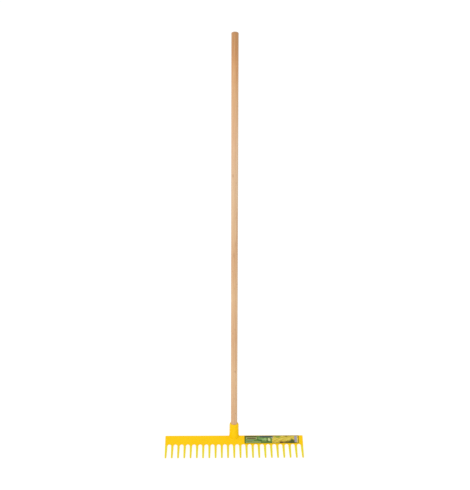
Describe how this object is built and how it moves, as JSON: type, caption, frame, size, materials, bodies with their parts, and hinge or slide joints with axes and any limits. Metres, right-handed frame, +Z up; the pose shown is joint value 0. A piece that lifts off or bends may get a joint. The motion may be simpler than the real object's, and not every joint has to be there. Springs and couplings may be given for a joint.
{
  "type": "long-handled plastic-head rake",
  "caption": "Long-handled rake: straight round wooden handle screwed into the socket of a wide one-piece plastic head with a slanted plate and forward-curved tines.",
  "frame": {"origin": "on the handle's axis, in the plane of the head socket's mouth, where a clip or a hand holds the handle directly above the head", "axes": "+Z up along the handle towards its free end, +X along the head towards the label's side, -Y forward, the way the tines reach"},
  "size_m": [0.605, 0.1426, 1.8007],
  "materials": {
    "handle_wood": "turned and sanded raw knotty softwood",
    "head_plastic": "satin moulded polypropylene",
    "screw_steel": "zinc plated",
    "label_film": "printed self-adhesive film"
  },
  "bodies": {
    "root": {"handle": "handle_wood", "rake_head": "head_plastic", "fixing_screw": "screw_steel", "label": "label_film"}
  },
  "joints": []
}
